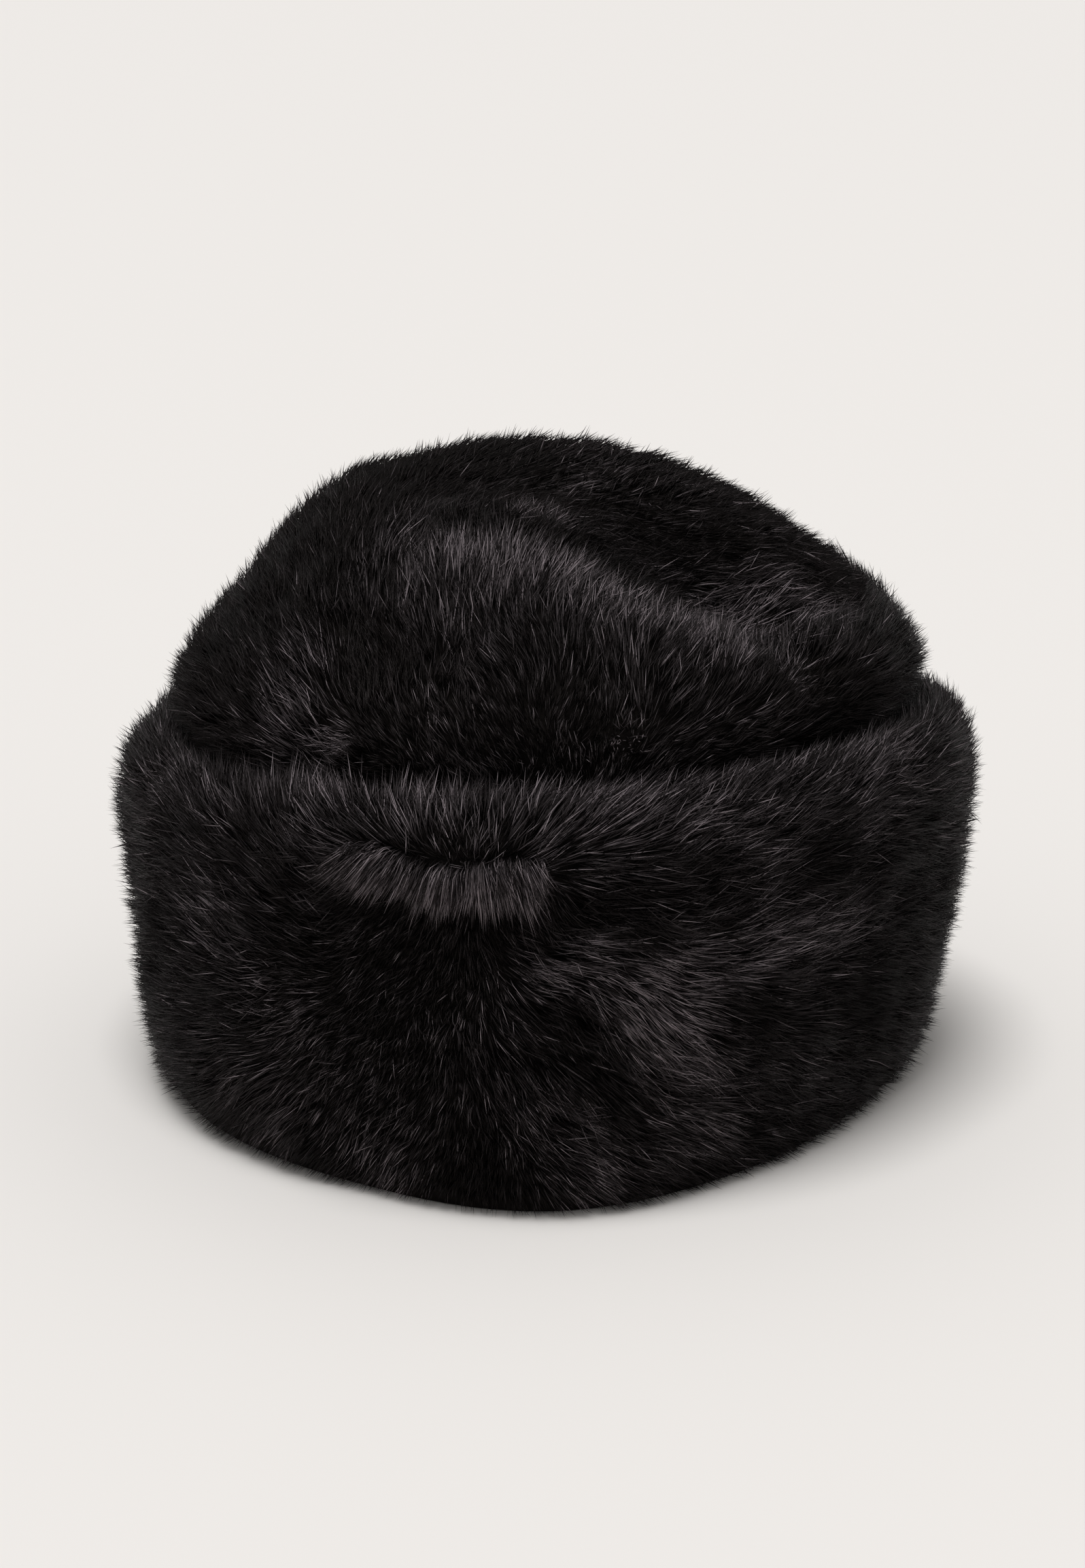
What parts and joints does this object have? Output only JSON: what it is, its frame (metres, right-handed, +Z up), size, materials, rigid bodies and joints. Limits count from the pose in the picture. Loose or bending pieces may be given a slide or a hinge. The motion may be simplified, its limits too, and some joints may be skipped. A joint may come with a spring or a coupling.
{
  "type": "fur hat with a turned-up cuff",
  "caption": "Soft hat of short black fur: a dented, domed crown with a sewn-in tip stands in a tall turned-up cuff, hollow and open below for the head.",
  "frame": {"origin": "on the surface that the hat stands on, under the middle of its outline", "axes": "+Z up, -Y towards the front of the hat, +X to the right of someone who faces that front"},
  "size_m": [0.247, 0.2434, 0.1752],
  "materials": {
    "cuff_fur": "combed pile",
    "crown_fur": "combed pile"
  },
  "bodies": {
    "root": {"cuff": "cuff_fur", "crown_side": "crown_fur", "crown_top": "crown_fur"}
  },
  "joints": []
}
